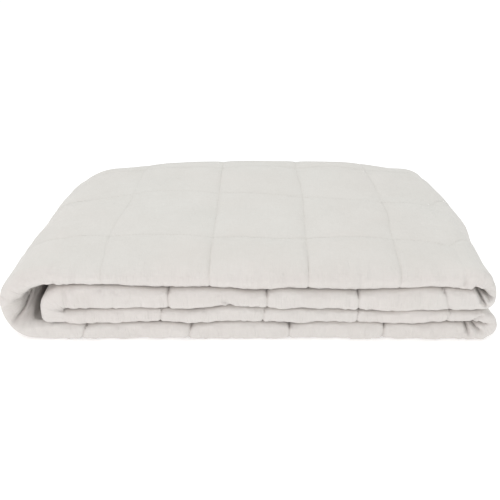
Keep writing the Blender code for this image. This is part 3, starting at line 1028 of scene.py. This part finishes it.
class Nodes:
    """Adds nodes to a tree, and gives what comes out of them."""

    def __init__(self, tree):
        self.tree = tree

    def add(self, kind, inputs, **settings):
        node = self.tree.nodes.new(kind)
        for name, value in settings.items():
            setattr(node, name, value)
        self.fill(node, inputs)
        return node

    def fill(self, node, inputs):
        """Joins each input to another node's output, or sets its value."""
        for socket, value in inputs.items():
            if isinstance(value, bpy.types.NodeSocket):
                self.tree.links.new(value, node.inputs[socket])
            else:
                node.inputs[socket].default_value = value

    def bump(self, height, strength, distance, **lower):
        inputs = {"Height": height, "Strength": strength, "Distance": distance, **lower}
        return self.add("ShaderNodeBump", inputs).outputs["Normal"]

    def math(self, operation, *values):
        return self.add("ShaderNodeMath", dict(enumerate(values)), operation=operation).outputs[0]

    def noise(self, vector, scale, detail):
        inputs = {"Vector": vector, "Scale": scale, "Detail": detail}
        return self.add("ShaderNodeTexNoise", inputs).outputs["Fac"]

    def stretched(self, vector, scale):
        return self.add("ShaderNodeMapping", {"Vector": vector, "Scale": scale}).outputs["Vector"]

    def between(self, share, low, high):
        """Goes from low to high as share goes from 0 to 1."""
        inputs = {"Value": share, "To Min": low, "To Max": high}
        return self.add("ShaderNodeMapRange", inputs).outputs["Result"]

    def mix_colors(self, share, first, second):
        inputs = {"Factor": share, 6: first, 7: second}  # 6 and 7 are the node's colours
        return self.add("ShaderNodeMix", inputs, data_type="RGBA").outputs[2]

    def group(self, tree, inputs):
        return self.add("ShaderNodeGroup", inputs, node_tree=tree).outputs


def new_group(name, inputs, outputs):
    """An empty node group, its nodes, and the sockets inside it."""
    tree = bpy.data.node_groups.new(name, "ShaderNodeTree")
    for socket, kind, value in inputs:
        added = tree.interface.new_socket(name=socket, in_out="INPUT", socket_type=kind)
        if value is not None:
            added.default_value = value
    for socket in outputs:
        tree.interface.new_socket(name=socket, in_out="OUTPUT", socket_type="NodeSocketFloat")
    nodes = Nodes(tree)
    return nodes, nodes.add("NodeGroupInput", {}).outputs, nodes.add("NodeGroupOutput", {}).inputs


def make_uneven_dye():
    """Soft patches, and thin slubs in the yarn both ways."""
    inputs = (("Place", "NodeSocketVector", None), ("Patch Size", "NodeSocketFloat", 0.02))
    nodes, given, result = new_group("uneven dye", inputs, ("Patches", "Slubs"))
    place, scale = given["Place"], nodes.math("DIVIDE", 1.0, given["Patch Size"])
    nodes.tree.links.new(nodes.noise(place, scale, 3.0), result["Patches"])
    across = nodes.noise(nodes.stretched(place, (ALONG_YARN, ACROSS_YARN, ALONG_YARN)), 1.0, 2.0)
    along = nodes.noise(nodes.stretched(place, (ACROSS_YARN, ALONG_YARN, ALONG_YARN)), 1.0, 2.0)
    nodes.tree.links.new(nodes.math("MULTIPLY", nodes.math("ADD", across, along), 0.5), result["Slubs"])
    return nodes.tree


def make_twisted_yarn():
    """The slanted turns of a twisted yarn."""
    kind = "NodeSocketFloat"
    inputs = (("Along", kind, 0.0), ("Across", kind, 0.0), ("Turn Length", kind, 0.001))
    nodes, given, result = new_group("twisted yarn", inputs, ("Height",))
    slanted = nodes.math("ADD", given["Along"], given["Across"])
    turns = nodes.math("MULTIPLY", nodes.math("DIVIDE", slanted, given["Turn Length"]), 2 * math.pi)
    wave = nodes.math("MULTIPLY_ADD", nodes.math("SINE", turns), 0.5, 0.5)
    nodes.tree.links.new(wave, result["Height"])
    return nodes.tree


def weave_height(nodes, place):
    """A plain weave: each thread goes over one and under the next."""
    parts = nodes.add("ShaderNodeSeparateXYZ", {"Vector": place}).outputs
    warp = nodes.math("COSINE", nodes.math("MULTIPLY", parts["X"], THREADS * math.pi))
    weft = nodes.math("COSINE", nodes.math("MULTIPLY", parts["Y"], THREADS * math.pi))
    over = nodes.math("MULTIPLY", warp, weft)
    upright = nodes.math("ADD", nodes.math("ABSOLUTE", warp), over)
    level = nodes.math("SUBTRACT", nodes.math("ABSOLUTE", weft), over)
    twist = nodes.group(TWISTED_YARN, {"Along": parts["X"], "Across": parts["Y"], "Turn Length": 0.0005})
    higher = nodes.math("MULTIPLY", nodes.math("MAXIMUM", upright, level), 0.5)
    return nodes.math("MULTIPLY_ADD", twist["Height"], 0.15, higher)


def attribute(nodes, name):
    return nodes.add("ShaderNodeAttribute", {}, attribute_name=name).outputs["Fac"]


def new_material(name):
    material = bpy.data.materials.new(name)
    material.use_nodes = True
    shader = material.node_tree.nodes["Principled BSDF"]
    return material, Nodes(material.node_tree), shader


def cotton_material():
    """Off-white cotton in a plain weave, a little darker with painted shade in its seams, creases, slits and
    hollow, and fuzzy on its folds.
    """
    material, nodes, shader = new_material("off-white cotton")
    place = nodes.add("ShaderNodeUVMap", {}, uv_map="cloth").outputs["UV"]
    weave = weave_height(nodes, place)
    dye = nodes.group(UNEVEN_DYE, {"Place": place, "Patch Size": 0.045})
    near_seam, painted_shade, rubbed = (attribute(nodes, name) for name in ("near seam", "painted_shade", "rubbed"))

    tone = nodes.math("MULTIPLY_ADD", dye["Patches"], 0.6, nodes.math("MULTIPLY", dye["Slubs"], 0.7))
    tone = nodes.math("ADD", tone, nodes.math("MULTIPLY", weave, 0.12))
    cotton = nodes.mix_colors(nodes.between(tone, -0.35, 1.05), DARK_COTTON, LIGHT_COTTON)
    warmth = nodes.between(nodes.noise(place, 9.0, 1.0), -0.55, 1.45)
    cotton = nodes.mix_colors(nodes.math("MULTIPLY", warmth, 0.10), cotton, WARM_DYE)
    uneven = nodes.between(nodes.noise(place, 38.0, 2.0), -0.06, 0.24)
    # painted shade in the troughs of the seams
    shaded = nodes.mix_colors(nodes.math("MULTIPLY", near_seam, uneven), cotton, SEAM_SHADOW)
    # painted shade in the slits, the hollow, the heads of seams and the cores of creases
    shaded = nodes.mix_colors(nodes.math("MULTIPLY", painted_shade, 0.75), shaded, CREASE_SHADOW)
    worn = nodes.mix_colors(nodes.math("MULTIPLY", rubbed, 0.10), shaded, WORN_COTTON)

    rough = nodes.math("MULTIPLY_ADD", dye["Slubs"], 0.10, nodes.between(weave, 0.94, 0.84))
    rough = nodes.math("MULTIPLY_ADD", rubbed, 0.04, rough)

    fuzz = nodes.noise(place, 2600.0, 2.0)
    cloth_height = nodes.math("MULTIPLY_ADD", fuzz, nodes.between(rubbed, 0.25, 0.45), weave)
    cloth_height = nodes.math("MULTIPLY_ADD", dye["Slubs"], 1.1, cloth_height)
    puckers = nodes.noise(nodes.stretched(place, (150.0, 150.0, 150.0)), 1.0, 2.0)
    upright = nodes.noise(nodes.stretched(place, (330.0, 45.0, 150.0)), 1.0, 2.0)
    puckers = nodes.math("MULTIPLY_ADD", upright, nodes.math("MULTIPLY", rubbed, 2.6), puckers)
    soft = nodes.bump(puckers, 0.60, 0.0012)
    fine = nodes.bump(cloth_height, 0.55, 0.00025, Normal=soft)
    nodes.fill(shader, {"Base Color": worn, "Roughness": rough, "Normal": fine})
    nodes.fill(shader, {"Sheen Weight": 0.25, "Sheen Roughness": 0.45, "Specular IOR Level": 0.25})
    return material


def thread_material():
    """Sewing thread, twisted, of the cloth's colour."""
    material, nodes, shader = new_material("sewing thread")
    place = nodes.add("ShaderNodeTexCoord", {}).outputs["Object"]
    parts = nodes.add("ShaderNodeSeparateXYZ", {"Vector": place}).outputs
    along = nodes.math("ADD", parts["X"], parts["Y"])
    yarn = {"Along": along, "Across": parts["Z"], "Turn Length": 0.0006}
    height = nodes.group(TWISTED_YARN, yarn)["Height"]
    dye = nodes.group(UNEVEN_DYE, {"Place": place, "Patch Size": 0.010})
    tone = nodes.math("MULTIPLY_ADD", height, 0.6, nodes.math("MULTIPLY", dye["Patches"], 0.6))
    nodes.fill(shader, {
        "Base Color": nodes.mix_colors(tone, DARK_COTTON, SEWING_THREAD),
        "Roughness": nodes.between(height, 0.72, 0.60),
        "Normal": nodes.bump(height, 0.5, 0.0001),
        "Sheen Weight": 0.15,
    })
    return material


UNEVEN_DYE = make_uneven_dye()
TWISTED_YARN = make_twisted_yarn()


def make_floor():
    mesh = bpy.data.meshes.new("floor")
    size = 6.0
    corners = [(-size, -size, 0), (size, -size, 0), (size, size, 0), (-size, size, 0)]
    mesh.from_pydata(corners, [], [(0, 1, 2, 3)])
    floor = new_object("floor", mesh)
    material, nodes, shader = new_material("pale floor")
    nodes.fill(shader, {"Base Color": (0.9, 0.9, 0.9, 1), "Roughness": 0.9})
    nodes.fill(shader, {"Emission Color": (1, 1, 1, 1), "Emission Strength": 0.30})
    floor.data.materials.append(material)


def make_camera():
    camera = new_object("camera", bpy.data.cameras.new("camera"))
    camera.data.lens = 46.8
    camera.data.sensor_width = 36.0
    camera.data.shift_x = -0.024
    camera.location = (0.01242, -0.69337, 0.42584)
    camera.rotation_euler = (math.radians(90 - 30.3), 0, 0)
    bpy.context.scene.camera = camera


def area_light(name, place, target, energy, size, color):
    light = bpy.data.lights.new(name, "AREA")
    light.energy = energy
    light.color = color
    light.size = size
    lamp = new_object(name, light)
    lamp.location = place
    lamp.rotation_euler = (Vector(target) - Vector(place)).to_track_quat("-Z", "Y").to_euler()


def make_light():
    world = bpy.data.worlds.new("studio")
    world.use_nodes = True
    background = world.node_tree.nodes["Background"].inputs
    background["Color"].default_value = (1, 1, 1, 1)
    background["Strength"].default_value = 0.8
    bpy.context.scene.world = world
    area_light("soft light above", (-0.2, 0.1, 1.5), (0, 0, 0.04), 5.3, 1.2, (0.90, 1.0, 0.95))
    area_light("warm light in front", (-0.5, -1.3, 0.6), (0, 0, 0.04), 1.9, 1.0, (1.0, 0.72, 0.78))
    bpy.context.scene.view_settings.view_transform = "Standard"


strip, ring, stations, seams, points, dark = build_blanket()
cloth = cotton_material()
blanket = show("blanket", grid_mesh("blanket", points), cloth)
lay_weave(blanket.data, points, stations)
mark(blanket.data, "near seam", seams.narrow)
# painted shade, where the slits, the hollow and the creases get no light
mark(blanket.data, "painted_shade", dark)
mark(blanket.data, "rubbed", rubbed_places(strip, ring, stations))
thread = stitch_seams(strip, ring, stations, seams, points)
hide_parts(BLANKET)
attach(blanket, "root")
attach(thread, "root")
make_floor()
make_camera()
make_light()
